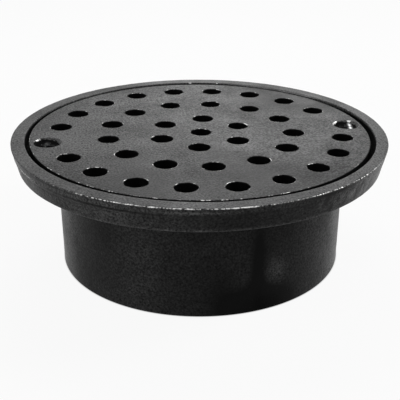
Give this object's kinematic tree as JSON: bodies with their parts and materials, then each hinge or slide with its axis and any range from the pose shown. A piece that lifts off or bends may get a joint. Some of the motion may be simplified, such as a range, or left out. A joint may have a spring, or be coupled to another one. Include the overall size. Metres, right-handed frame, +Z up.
{
  "type": "floor drain",
  "caption": "Round cast-iron floor drain: a flanged body with a deep hub outlet, and a flat perforated grate held in its recess by countersunk screws.",
  "frame": {"origin": "centre of the hub's lower end, where the drain stands", "axes": "+Z up along the hub's axis to the grate; one grate screw lies on -X and the other 3 degrees from +X"},
  "size_m": [0.1726, 0.1726, 0.0595],
  "materials": {
    "body_iron": "sand-cast, with a thin black dip coat",
    "grate_iron": "sand-cast, with a thin black dip coat, worn on the edges of the holes",
    "screw_steel": "blackened steel"
  },
  "bodies": {
    "root": {"drain_body": "body_iron", "grate": "grate_iron", "grate_screws": "screw_steel"}
  },
  "joints": []
}
